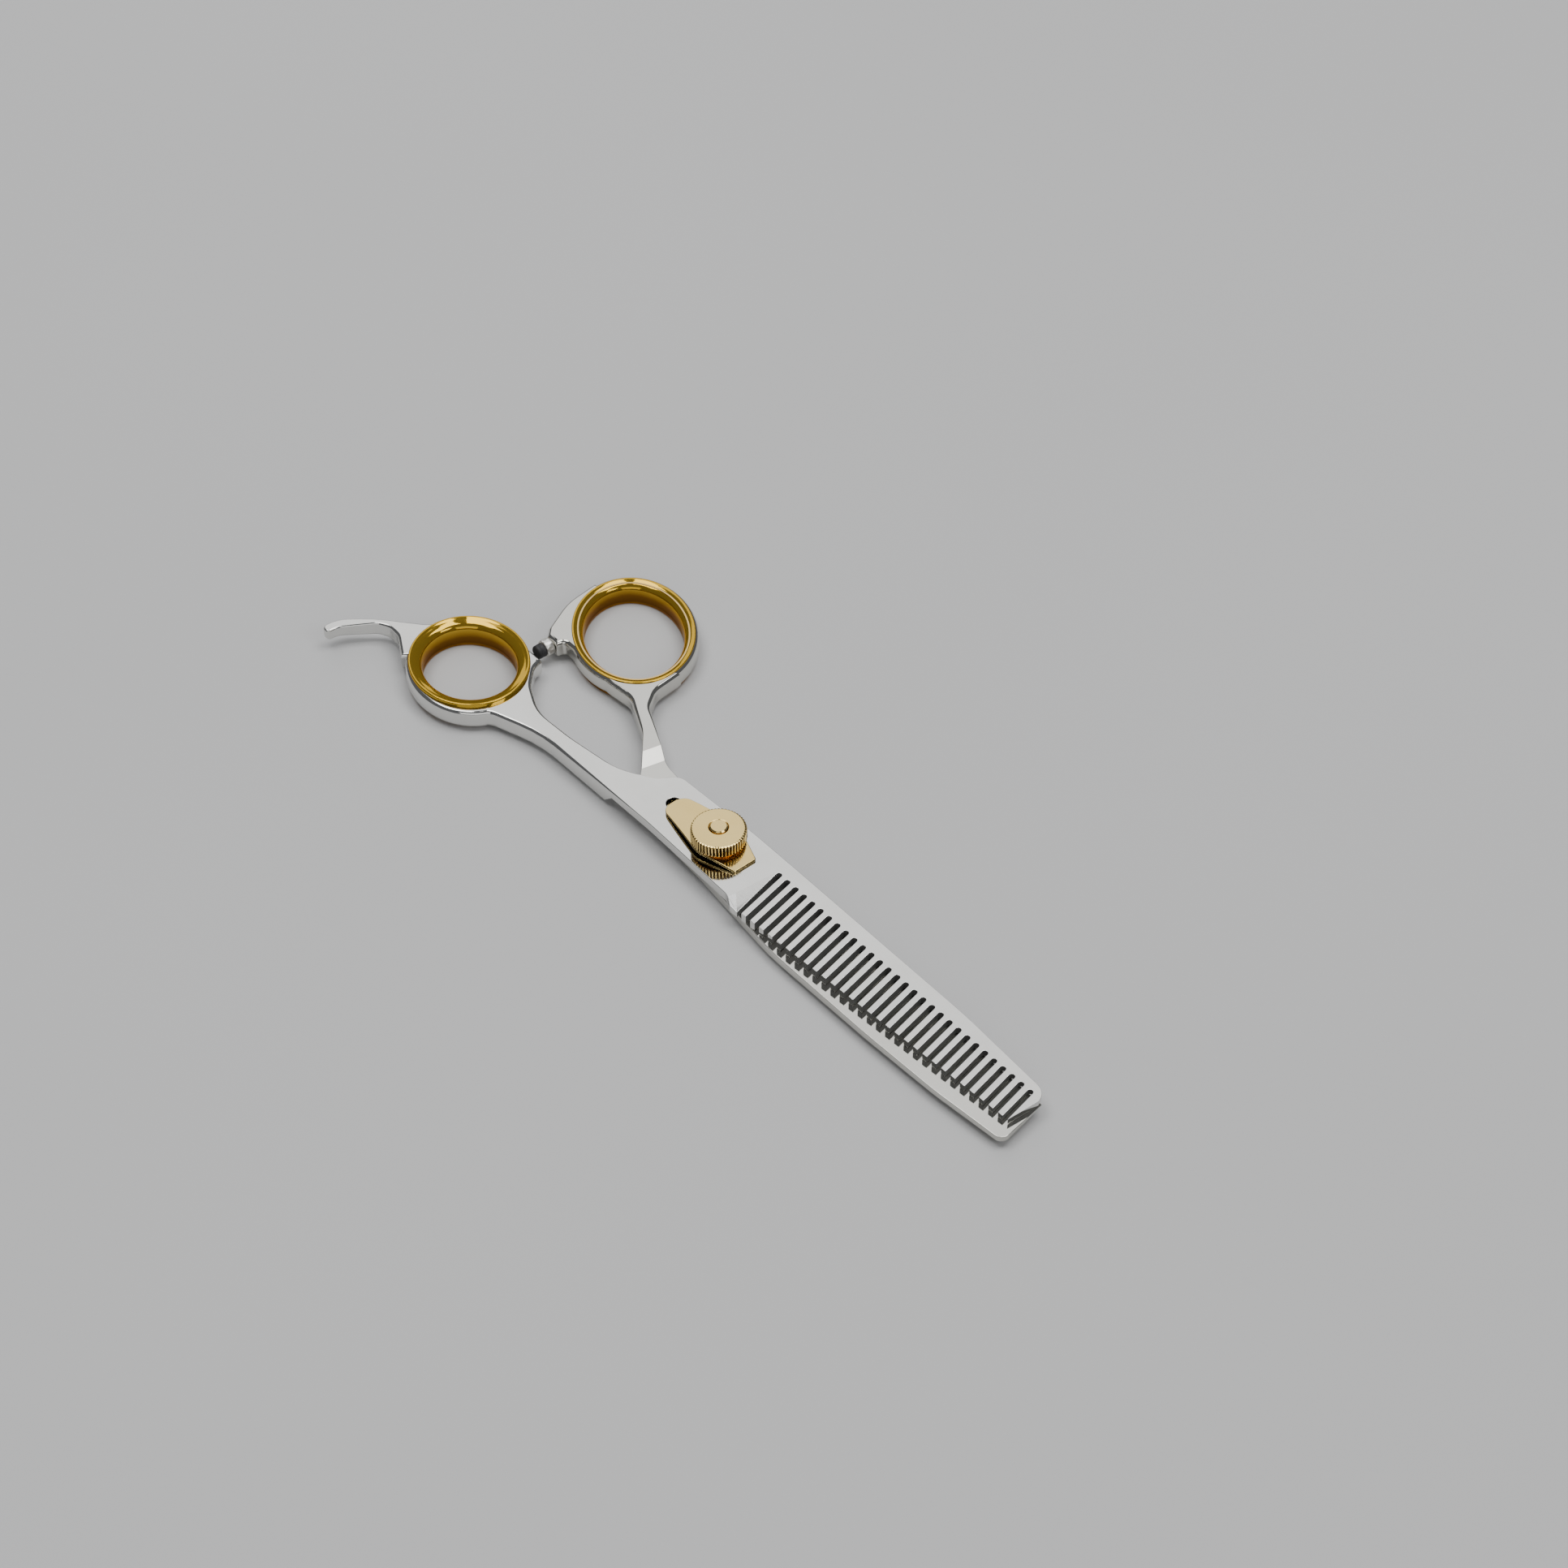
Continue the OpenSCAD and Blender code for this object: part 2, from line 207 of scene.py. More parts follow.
def slab(loops, z0, z1, radius, cuts, zmap):
    """A plate between z0 and z1 with its edges rounded. radius(points) gives five columns: how far the
    rounding reaches in and down at the top, in and up at the bottom, and how straight the bottom one is.
    cuts are vertical planes that split the faces, and zmap(x, y, z, upper) then moves the surface."""
    bm = bmesh.new()
    rows_top, rows_low = [], []
    angles = [math.pi / 2 * k / ROUND_STEPS for k in range(ROUND_STEPS, -1, -1)]
    for loop in loops:
        m, r = miters(loop), radius(loop)
        top, low = [], []
        for a in angles:
            inset, drop = 1 - math.cos(a), 1 - math.sin(a)
            p = loop + m * (r[:, 0] * inset)[:, None]
            top.append([bm.verts.new((x, y, z1 - d)) for (x, y), d in zip(p, r[:, 1] * drop)])
            t = a / (math.pi / 2)
            low_inset = inset + r[:, 4] * (t - inset)
            low_drop = drop + r[:, 4] * (1 - t - drop)
            p = loop + m * (r[:, 2] * low_inset)[:, None]
            low.append([bm.verts.new((x, y, z0 + d)) for (x, y), d in zip(p, r[:, 3] * low_drop)])
        rows_top.append(top[0])
        rows_low.append(low[0])
        rows = top + low[::-1]
        n = len(loop)
        for upper, lower in zip(rows, rows[1:]):
            for i in range(n):
                j = (i + 1) % n
                bm.faces.new((upper[i], lower[i], lower[j], upper[j]))
    for rows, flip in ((rows_top, False), (rows_low, True)):
        verts = [v for row in rows for v in row]
        for tri in tessellate_polygon([[v.co.copy() for v in row] for row in rows]):
            face = [verts[i] for i in (tri[::-1] if flip else tri)]
            if len(set(face)) == 3 and bm.faces.get(face) is None:
                bm.faces.new(face)
    bmesh.ops.recalc_face_normals(bm, faces=bm.faces)
    for point, normal in cuts:
        bmesh.ops.bisect_plane(bm, geom=bm.verts[:] + bm.edges[:] + bm.faces[:], dist=1e-5,
                               plane_co=(point[0], point[1], 0), plane_no=(normal[0], normal[1], 0))
    middle = (z0 + z1) / 2
    for v in bm.verts:
        v.co.z = zmap(v.co.x, v.co.y, v.co.z, v.co.z > middle)
    return bm


def to_metres(bm):
    bmesh.ops.scale(bm, vec=(MM, MM, MM), verts=bm.verts)
    return bm


def lathe(profile, sides, radius_at=None, close=False):
    """Turns [radius, height] points about Z. radius_at(angle, radius, height) may shape each point."""
    bm = bmesh.new()
    rings = []
    for r, z in profile:
        ring = []
        for i in range(sides):
            angle = 2 * math.pi * i / sides
            rr = radius_at(angle, r, z) if radius_at else r
            ring.append(bm.verts.new((rr * math.cos(angle), rr * math.sin(angle), z)))
        rings.append(ring)
    pairs = list(zip(rings, rings[1:])) + ([(rings[-1], rings[0])] if close else [])
    for a, b in pairs:
        for i in range(sides):
            j = (i + 1) % sides
            bm.faces.new((a[i], a[j], b[j], b[i]))
    if not close:
        bm.faces.new(rings[0][::-1])
        bm.faces.new(rings[-1])
    return bm


def place(bm, origin, x_axis, y_axis, z_axis):
    for v in bm.verts:
        v.co = Vector(origin) + v.co.x * Vector(x_axis) + v.co.y * Vector(y_axis) + v.co.z * Vector(z_axis)
    return bm


# ---------------------------------------------------------------- materials

def material(name):
    mat = bpy.data.materials.new(name)
    mat.use_nodes = True
    tree = mat.node_tree
    return mat, tree, tree.nodes["Principled BSDF"]


def node(tree, kind, **values):
    n = tree.nodes.new(kind)
    for key, value in values.items():
        if key in n.inputs:
            n.inputs[key].default_value = value
        else:
            setattr(n, key, value)
    return n


def noise(tree, scale, detail=4.0, rough=0.55, stretch=(1, 1, 1), turn=0.0):
    coords = node(tree, "ShaderNodeTexCoord")
    mapping = node(tree, "ShaderNodeMapping")
    mapping.inputs["Scale"].default_value = stretch
    mapping.inputs["Rotation"].default_value = (0, 0, turn)
    tree.links.new(coords.outputs["Object"], mapping.inputs["Vector"])
    n = node(tree, "ShaderNodeTexNoise", Scale=scale, Detail=detail, Roughness=rough)
    tree.links.new(mapping.outputs["Vector"], n.inputs["Vector"])
    return n.outputs["Fac"]


def ramp(tree, source, stops):
    r = node(tree, "ShaderNodeValToRGB")
    el = r.color_ramp.elements
    while len(el) < len(stops):
        el.new(0.5)
    for e, (pos, value) in zip(el, stops):
        e.position = pos
        e.color = (*value, 1) if hasattr(value, "__len__") else (value, value, value, 1)
    tree.links.new(source, r.inputs["Fac"])
    return r.outputs["Color"]


def bumps(tree, bsdf, layers):
    """Chains bump nodes, each (height source, strength, distance in metres)."""
    last = None
    for source, strength, distance in layers:
        b = node(tree, "ShaderNodeBump", Strength=strength, Distance=distance)
        tree.links.new(source, b.inputs["Height"])
        if last is not None:
            tree.links.new(last, b.inputs["Normal"])
        last = b.outputs["Normal"]
    tree.links.new(last, bsdf.inputs["Normal"])


def metal(name, dark, light, rough, fine=0.02, brush=(1, 1, 1), turn=0.0, dents=0.0):
    mat, tree, bsdf = material(name)
    bsdf.inputs["Metallic"].default_value = 1.0
    cloud = noise(tree, 90, 5)
    tree.links.new(ramp(tree, cloud, [(0.3, dark), (0.7, light)]), bsdf.inputs["Base Color"])
    grain = noise(tree, 900, 4, 0.6, brush, turn)
    lo, hi = rough
    tree.links.new(ramp(tree, grain, [(0.3, lo), (0.75, hi)]), bsdf.inputs["Roughness"])
    layers = [(grain, fine, 0.00005)]
    if dents:
        layers.append((noise(tree, 160, 3), dents, 0.0004))
    bumps(tree, bsdf, layers)
    return mat


steel = metal("satin_steel", (0.66, 0.655, 0.63), (0.72, 0.715, 0.69), (0.06, 0.12), 0.04, (1, 9, 1))
mirror = metal("mirror_steel", (0.58, 0.57, 0.53), (0.64, 0.63, 0.59), (0.04, 0.10), 0.03, (7, 1, 1))
# painted shade: a near-black steel colour for the slots' walls, which lie in shade
slot_wall_shade = metal("painted_slot_shade", (0.105, 0.105, 0.10), (0.13, 0.13, 0.125), (0.42, 0.55), 0.10, (1, 1, 6))
slot_wall_shade.node_tree.nodes["Principled BSDF"].inputs["Metallic"].default_value = 0.3
# painted highlight: a near-white steel colour for the slot rims
rim_highlight = metal("painted_rim_highlight", (0.90, 0.90, 0.88), (0.95, 0.95, 0.93), (0.16, 0.26), 0.04)
gold = metal("gold_plate", (0.74, 0.54, 0.20), (0.80, 0.61, 0.25), (0.10, 0.20), 0.05)
brass = metal("brass_washer", (0.72, 0.34, 0.08), (0.84, 0.46, 0.14), (0.18, 0.34), 0.10)
cast = metal("cast_collar", (0.62, 0.61, 0.57), (0.92, 0.90, 0.85), (0.25, 0.45), 0.35, dents=0.8)


def knurled(radius, rim_z):
    """Gold plate with dark brown painted shade in its knurling grooves, by distance from the knob's axis, in
    mm.
    """
    mat = metal("knurl_gold", (0.74, 0.54, 0.20), (0.80, 0.61, 0.25), (0.07, 0.15), 0.06)
    tree = mat.node_tree
    bsdf = tree.nodes["Principled BSDF"]
    plating = bsdf.inputs["Base Color"].links[0].from_socket
    split = node(tree, "ShaderNodeSeparateXYZ")
    tree.links.new(node(tree, "ShaderNodeTexCoord").outputs["Object"], split.inputs[0])
    flat = node(tree, "ShaderNodeCombineXYZ")
    tree.links.new(split.outputs["X"], flat.inputs["X"])
    tree.links.new(split.outputs["Y"], flat.inputs["Y"])
    reach = node(tree, "ShaderNodeVectorMath", operation="LENGTH")
    tree.links.new(flat.outputs[0], reach.inputs[0])
    groove = node(tree, "ShaderNodeMapRange")
    for socket, value in zip(("From Min", "From Max", "To Min", "To Max"),
                             ((radius - 0.22) * MM, (radius - 0.06) * MM, 1.0, 0.0)):
        groove.inputs[socket].default_value = value
    tree.links.new(reach.outputs["Value"], groove.inputs["Value"])
    below = node(tree, "ShaderNodeMath", operation="LESS_THAN")
    below.inputs[1].default_value = (rim_z - 0.06) * MM
    tree.links.new(split.outputs["Z"], below.inputs[0])
    outside = node(tree, "ShaderNodeMath", operation="GREATER_THAN")
    outside.inputs[1].default_value = (radius - 0.6) * MM
    tree.links.new(reach.outputs["Value"], outside.inputs[0])
    both = node(tree, "ShaderNodeMath", operation="MULTIPLY")
    tree.links.new(below.outputs[0], both.inputs[0])
    tree.links.new(outside.outputs[0], both.inputs[1])
    # painted shade: a mask of the knurl grooves below the rim
    groove_shade_mask = node(tree, "ShaderNodeMath", operation="MULTIPLY")
    tree.links.new(groove.outputs["Result"], groove_shade_mask.inputs[0])
    tree.links.new(both.outputs[0], groove_shade_mask.inputs[1])
    mix = node(tree, "ShaderNodeMix", data_type="RGBA")
    colour_in = [i for i in mix.inputs if i.type == "RGBA"]
    # painted shade: dark brown down in the grooves
    colour_in[1].default_value = (0.10, 0.045, 0.012, 1)
    tree.links.new(groove_shade_mask.outputs[0], mix.inputs[0])
    tree.links.new(plating, colour_in[0])
    tree.links.new([o for o in mix.outputs if o.type == "RGBA"][0], bsdf.inputs["Base Color"])
    return mat


def amber_plastic():
    """Clear amber with light and shade painted into its colour by height: a bright yellow painted highlight
    round the flare, brown painted shade down the wall.
    """
    mat, tree, bsdf = material("amber_plastic")
    coords = node(tree, "ShaderNodeTexCoord")
    split = node(tree, "ShaderNodeSeparateXYZ")
    tree.links.new(coords.outputs["Object"], split.inputs[0])
    # the ramp below runs over 6.25 mm of height
    height = node(tree, "ShaderNodeMath", operation="MULTIPLY")
    height.inputs[1].default_value = 1 / (6.25 * MM)
    tree.links.new(split.outputs["Z"], height.inputs[0])
    wobble = node(tree, "ShaderNodeMath", operation="MULTIPLY_ADD")
    wobble.inputs[1].default_value = 0.16
    tree.links.new(noise(tree, 160, 4), wobble.inputs[0])
    tree.links.new(height.outputs[0], wobble.inputs[2])
    # painted light: orange toward the lower lip as a painted glow, dark brown painted shade down the wall,
    # bright yellow painted highlight round the flare
    stops = [(0.08, (0.55, 0.25, 0.020)), (0.22, (0.13, 0.050, 0.008)), (0.44, (0.20, 0.085, 0.010)),
             (0.60, (0.42, 0.23, 0.020)), (0.78, (0.62, 0.39, 0.040))]
    tree.links.new(ramp(tree, wobble.outputs[0], stops), bsdf.inputs["Base Color"])
    bsdf.inputs["Metallic"].default_value = 0.7
    bsdf.inputs["IOR"].default_value = 1.5
    bsdf.inputs["Specular Tint"].default_value = (1.0, 0.62, 0.18, 1)
    bsdf.inputs["Transmission Weight"].default_value = 0.5
    tree.links.new(ramp(tree, noise(tree, 500, 3), [(0.3, 0.05), (0.75, 0.11)]), bsdf.inputs["Roughness"])
    bumps(tree, bsdf, [(noise(tree, 220, 2), 0.10, 0.0002)])
    return mat


def rubber():
    mat, tree, bsdf = material("black_rubber")
    tree.links.new(ramp(tree, noise(tree, 400, 4), [(0.3, (0.012, 0.012, 0.013)), (0.7, (0.03, 0.03, 0.032))]),
                   bsdf.inputs["Base Color"])
    tree.links.new(ramp(tree, noise(tree, 900, 4), [(0.3, 0.5), (0.7, 0.75)]), bsdf.inputs["Roughness"])
    bumps(tree, bsdf, [(noise(tree, 2500, 3), 0.3, 0.00005)])
    return mat


def nylon():
    mat, tree, bsdf = material("nylon")
    tree.links.new(ramp(tree, noise(tree, 300, 3), [(0.3, (0.80, 0.79, 0.74)), (0.7, (0.88, 0.87, 0.83))]),
                   bsdf.inputs["Base Color"])
    tree.links.new(ramp(tree, noise(tree, 700, 3), [(0.3, 0.35), (0.7, 0.5)]), bsdf.inputs["Roughness"])
    bumps(tree, bsdf, [(noise(tree, 1500, 3), 0.15, 0.00005)])
    return mat


amber, black_rubber, white_nylon = amber_plastic(), rubber(), nylon()


def dress(obj, mat, body, slot, *replaced):
    obj.data.materials.clear()
    obj.data.materials.append(mat)
    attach(obj, body)
    if replaced:
        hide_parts(*replaced)
    return obj


# ---------------------------------------------------------------- blades

Z_LOW = box_mm("comb_blade")[0][2]
Z_TOP = box_mm("comb_blade")[1][2]
Z_MATE = (Z_LOW + Z_TOP) / 2
HALF_GAP = 0.05
TAPER_X, TAPER = 14.0, 0.8 / 73.0
TANG_X, TANG_SLOPE = -84.2, 1.9 / 13.4


def taper(x):
    return max(0.0, x - TAPER_X) * TAPER


def comb_radius(p):
    """Soft cast edges on the handle, crisp ones on the blade."""
    soft = 1 - smoothstep(p[:, 0], -38, -20)
    tooth = smoothstep(p[:, 0], 10, 13)
    tip = 1 - smoothstep(p[:, 0], -94, -82)
    edge = 0.16 - 0.09 * tooth
    reach = edge + soft * (0.85 - 0.45 * tip - edge)
    drop = edge + soft * (1.0 - 0.45 * tip - edge)
    under = edge + soft * (1.2 - 0.55 * tip - edge)
    return np.c_[reach, drop, reach, under, np.zeros(len(p))]


COMB_STEP = 24.8
PLAIN_STEP = 26.8
STEP_RAMP = 2.2
comb_dir = np.array([-0.99, -0.14]) / np.hypot(0.99, 0.14)
plain_dir = np.array([-0.974, 0.226]) / np.hypot(0.974, 0.226)


HEEL_START, HEEL_TURN, HEEL_SLOPE = (12.4, 3.1), math.radians(-4.8), math.tan(math.radians(10))
heel_normal = (math.cos(HEEL_TURN), math.sin(HEEL_TURN))
FIRST_TOOTH_X = 18
SLOT_START, SLOT_DIR = (13.4, 3.5), (math.cos(math.radians(-78.6)), math.sin(math.radians(-78.6)))


def heel_drop(x, y):
    """Depth of the ground facet between the pivot area and the first slot."""
    along = (x - HEEL_START[0]) * heel_normal[0] + (y - HEEL_START[1]) * heel_normal[1]
    side = (x - SLOT_START[0]) * SLOT_DIR[1] - (y - SLOT_START[1]) * SLOT_DIR[0]
    if along <= 0 or side < 0 or x > FIRST_TOOTH_X:
        return 0.0
    return along * HEEL_SLOPE * min(1.0, max(0.0, (3.7 - y) / 0.5))


def comb_z(x, y, z, upper):
    if upper:
        return z - taper(x) - heel_drop(x, y)
    along = comb_dir[0] * x + comb_dir[1] * y
    blade = 1 - min(1.0, max(0.0, (along - COMB_STEP) / STEP_RAMP))
    rise = blade * (Z_MATE + HALF_GAP - Z_LOW)
    return z + rise + max(0.0, TANG_X - x) * TANG_SLOPE


comb_creases = [(comb_dir * COMB_STEP, comb_dir), (comb_dir * (COMB_STEP + STEP_RAMP), comb_dir),
                (HEEL_START, heel_normal)]
comb_bm = slab(section("comb_blade", 3.6), Z_LOW, Z_TOP, comb_radius,
               cuts=comb_creases + [((TAPER_X, 0), (1, 0)), ((TANG_X, 0), (1, 0))], zmap=comb_z)
comb = dress(finish_mesh(to_metres(comb_bm), "comb_half_steel", creases=comb_creases),
             steel, "comb_half", "blade_steel", "comb_blade")

# the slots' walls get a dark steel as painted shade, and their rims a bright steel as a painted highlight
comb.data.materials.append(slot_wall_shade)
comb.data.materials.append(rim_highlight)
across = Vector((-SLOT_DIR[1], SLOT_DIR[0], 0))
for face in comb.data.polygons:
    x, y = face.center.x / MM, face.center.y / MM
    if not (12.6 < x < 84.5 and -8.2 < y < 4.6):
        continue
    level = math.hypot(face.normal.x, face.normal.y)
    if level > 0.9 and (abs(face.normal.dot(across)) > 0.75 or y > 2.6):
        # painted shade: the slot walls take the dark steel
        face.material_index = 1
    elif level > 0.12 and face.normal.z > 0.2 and face.area < 1e-6:
        # painted highlight: the slot rims take the bright steel
        face.material_index = 2


EDGE_Y, BEVEL_X, BEVEL = 4.45, 13.4, math.tan(math.radians(38))


def plain_radius(p):
    soft = 1 - smoothstep(p[:, 0], -40, -29)
    reach = 0.14 + soft * 0.81
    # the cutting edge: a ground bevel below, nothing above
    ground = (p[:, 0] > BEVEL_X - 0.01) & (np.abs(p[:, 1] - EDGE_Y) < 0.02)
    rise = 1.84 - np.maximum(0.0, p[:, 0] - TAPER_X) * TAPER
    return np.c_[np.where(ground, 0.03, reach), np.where(ground, 0.03, 0.12 + soft * 0.98),
                 np.where(ground, rise * BEVEL, reach), np.where(ground, rise, 0.16 + soft * 1.04),
                 ground * 1.0]


def plain_z(x, y, z, upper):
    if not upper:
        return z + taper(x)
    along = plain_dir[0] * x + plain_dir[1] * y
    blade = 1 - min(1.0, max(0.0, (along - PLAIN_STEP) / STEP_RAMP))
    return z - blade * (Z_TOP - Z_MATE + HALF_GAP)


def unground(loop):
    """Puts the outline back from the bevel to the cutting edge."""
    loop = loop.copy()
    on_bevel = (loop[:, 0] > BEVEL_X - 0.01) & (loop[:, 1] > 3)
    loop[on_bevel, 1] = EDGE_Y
    return clean(loop)


plain_loops = section("plain_blade", 2.0)
plain_loops[0] = unground(plain_loops[0])
plain_creases = [(plain_dir * PLAIN_STEP, plain_dir), (plain_dir * (PLAIN_STEP + STEP_RAMP), plain_dir)]
plain_bm = slab(plain_loops, Z_LOW, Z_TOP, plain_radius,
                cuts=plain_creases + [((TAPER_X, 0), (1, 0))], zmap=plain_z)
dress(finish_mesh(to_metres(plain_bm), "plain_half_steel", creases=plain_creases),
      mirror, "plain_half", "mirror_steel", "plain_blade")


# ---------------------------------------------------------------- ring inserts

def insert_section(top, waist):
    """Closed section as [distance in from the lip, height]: rim, shallow flare, straight wall."""
    web, seat = 1.42, Z_TOP - 0.03
    lip = top - Z_TOP
    points = [(0.9, 0.0), (0.45, 0.04), (0.12, 0.2), (0.0, 0.45), (0.0, 0.72), (0.08, 0.8), (web, 0.8),
              (web, seat), (0.06, seat), (0.0, Z_TOP + 0.02)]
    for k in range(5):
        t = k / 4 * math.pi / 2
        points.append((0.26 - 0.26 * math.cos(t), top - lip * 0.45 * (1 - math.sin(t))))
    # the flare, which steepens into the wall
    flare = [(0.36, 0.01), (0.48, 0.04), (0.62, 0.09), (0.8, 0.15), (1.05, 0.24), (waist - 1.1, 0.36),
             (waist - 0.85, 0.48), (waist - 0.6, 0.63), (waist - 0.38, 0.81), (waist - 0.2, 1.03),
             (waist - 0.08, 1.28), (waist, 1.6)]
    points += [(x, top - d) for x, d in flare]
    points += [(waist + 0.02, z) for z in np.linspace(top - 2.0, 1.2, 6)]
    points += [(waist + 0.06, 1.0), (waist + 0.06, 0.86), (waist, 0.7), (waist, 0.3), (waist - 0.08, 0.12),
               (waist - 0.25, 0.0)]
    return points


def insert(name, cad, lean, a, b, waist, body):
    low, high = box_mm(cad)
    centre = (low + high) / 2
    section_points = insert_section(high[2], waist)
    bm = bmesh.new()
    sides, rings = 168, []
    for i in range(sides):
        angle = 2 * math.pi * i / sides
        ring = []
        for p, z in section_points:
            x, y = (a - p) * math.cos(angle), (b - p) * math.sin(angle)
            ring.append(bm.verts.new((centre[0] + x * math.cos(lean) - y * math.sin(lean),
                                      centre[1] + x * math.sin(lean) + y * math.cos(lean), z)))
        rings.append(ring)
    n = len(section_points)
    for i in range(sides):
        for j in range(n):
            bm.faces.new((rings[i][j], rings[i][(j + 1) % n],
                          rings[(i + 1) % sides][(j + 1) % n], rings[(i + 1) % sides][j]))
    obj = finish_mesh(to_metres(bm), name, sharp=50)
    return dress(obj, amber, body, "amber_plastic", cad)


insert("finger_insert", "finger_ring_insert", math.radians(166.7), 13.1, 11.95, 2.7, "comb_half")
insert("thumb_insert", "thumb_ring_insert", math.radians(150.7), 15.45, 12.3, 2.3, "plain_half")


# ---------------------------------------------------------------- tension system

PLATE_T = 0.55
ARCH_X, ARCH_HALF, ARCH_H = -3.0, 11.0, 0.85
ARCH_R = (ARCH_HALF ** 2 + ARCH_H ** 2) / (2 * ARCH_H)
SCREW_R = 1.75
plate_path = [(-13.9, -2.6, 2.4), (-0.5, -5.15, 5), (7.8, -2.6, 0.4),
              (7.8, 2.6, 0.4), (-0.5, 5.15, 5), (-13.9, 2.6, 2.4)]


def arch_z(x, y, z, upper):
    return z + Z_TOP + math.sqrt(ARCH_R ** 2 - (x - ARCH_X) ** 2) - (ARCH_R - ARCH_H)


def hole(r, sides):
    """Round outline that runs clockwise, as holes do."""
    angle = -np.arange(sides) * 2 * math.pi / sides
    return np.c_[r * np.cos(angle), r * np.sin(angle)]


def plate_radius(p):
    return np.tile([0.12, 0.1, 0.12, 0.1, 0.0], (len(p), 1))


plate_cuts = [((x, 0), (1, 0)) for x in np.arange(-13.2, 7.6, 0.65)]
plate_bm = slab([rounded(plate_path), hole(SCREW_R + 0.15, 64)], 0.0, PLATE_T, plate_radius,
                cuts=plate_cuts, zmap=arch_z)
# tab that drops into the locating hole
tab_low = (-14.15, -0.5, 3.8)
tab = bmesh.ops.create_cube(plate_bm, size=1.0)["verts"]
for v in tab:
    v.co = Vector((tab_low[0] + (v.co.x + 0.5) * PLATE_T, tab_low[1] + (v.co.y + 0.5) * 1.8,
                   tab_low[2] + (v.co.z + 0.5) * 1.42))
plate = dress(finish_mesh(to_metres(plate_bm), "spring_plate"), gold,
              "comb_half", "gold_plate", "tension_plate")
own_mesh(plate)

KNOB_LOW, KNOB_HIGH = box_mm("tension_knob")
KNOB_R = KNOB_HIGH[0]
RIDGES = 50


RIM_Z, DOME = KNOB_LOW[2] + 2.5, 0.4
DOME_R = (KNOB_R ** 2 + DOME ** 2) / (2 * DOME)


def knurl(angle, r, z):
    """Rounded ridges with narrow grooves that run out on the rim."""
    if r < KNOB_R - 0.5:
        return r
    phase = (angle * RIDGES / (2 * math.pi)) % 1.0
    groove = abs(2 * phase - 1) ** 1.7
    return min(r, KNOB_R - 0.38 * groove)


def dome_z(r):
    return RIM_Z + DOME - DOME_R + math.sqrt(DOME_R ** 2 - r * r)


kz0 = KNOB_LOW[2]
knob_profile = [(SCREW_R + 0.06, kz0 + 0.8), (SCREW_R + 0.06, dome_z(2) - 0.2),
                (SCREW_R + 0.16, dome_z(2) - 0.05),
                (SCREW_R + 0.26, dome_z(SCREW_R + 0.26))]
knob_profile += [(r, dome_z(r)) for r in np.linspace(SCREW_R + 0.4, KNOB_R - 0.52, 8)]
knob_profile += [(KNOB_R - 0.4, dome_z(KNOB_R - 0.4)), (KNOB_R - 0.24, RIM_Z - 0.01),
                 (KNOB_R - 0.13, RIM_Z - 0.05), (KNOB_R - 0.04, RIM_Z - 0.13), (KNOB_R, RIM_Z - 0.26),
                 (KNOB_R, (kz0 + RIM_Z) / 2),
                 (KNOB_R, kz0 + 0.36), (KNOB_R - 0.07, kz0 + 0.18), (KNOB_R - 0.2, kz0 + 0.06),
                 (KNOB_R - 0.45, kz0), (3.02, kz0), (3.02, kz0 + 0.8)]
knob_bm = lathe(knob_profile, RIDGES * 12, knurl, close=True)
dress(finish_mesh(to_metres(knob_bm), "knurled_knob", sharp=40), knurled(KNOB_R, RIM_Z),
      "knob", "gold_plate", "tension_knob")


# ---------------------------------------------------------------- bumper

stud_low, stud_high = box_mm("bumper_stud")
pad_low, pad_high = box_mm("bumper_pad")
axis_x, axis_z = (stud_low[0] + stud_high[0]) / 2, (stud_low[2] + stud_high[2]) / 2
collar_r = (stud_high[0] - stud_low[0]) / 2
collar_y = pad_high[1]


def rough_collar(angle, r, z):
    wave = 0.035 * math.sin(5 * angle + 1.3) + 0.025 * math.sin(9 * angle + 3 * z) \
        + 0.015 * math.sin(17 * angle)
    return r + (wave - 0.06 if r > collar_r - 0.3 else 0.0)


collar_profile = [(0.3, -0.8), (0.8, -0.8), (0.8, 0), (collar_r - 0.45, 0), (collar_r - 0.2, 0.03),
                  (collar_r - 0.05, 0.12), (collar_r, 0.3), (collar_r, 0.7), (collar_r, 1.1), (collar_r, 1.6),
                  (collar_r - 0.06, 1.78), (collar_r - 0.22, 1.88), (collar_r - 0.5, 1.9), (1.09, 1.9),
                  (1.09, stud_high[1] - collar_y), (0.3, stud_high[1] - collar_y)]
bm = place(lathe(collar_profile, 96, rough_collar), (axis_x, collar_y, axis_z),
           (1, 0, 0), (0, 0, -1), (0, 1, 0))
dress(finish_mesh(to_metres(bm), "bumper_collar", sharp=45), cast, "plain_half", "cast_metal", "bumper_stud")

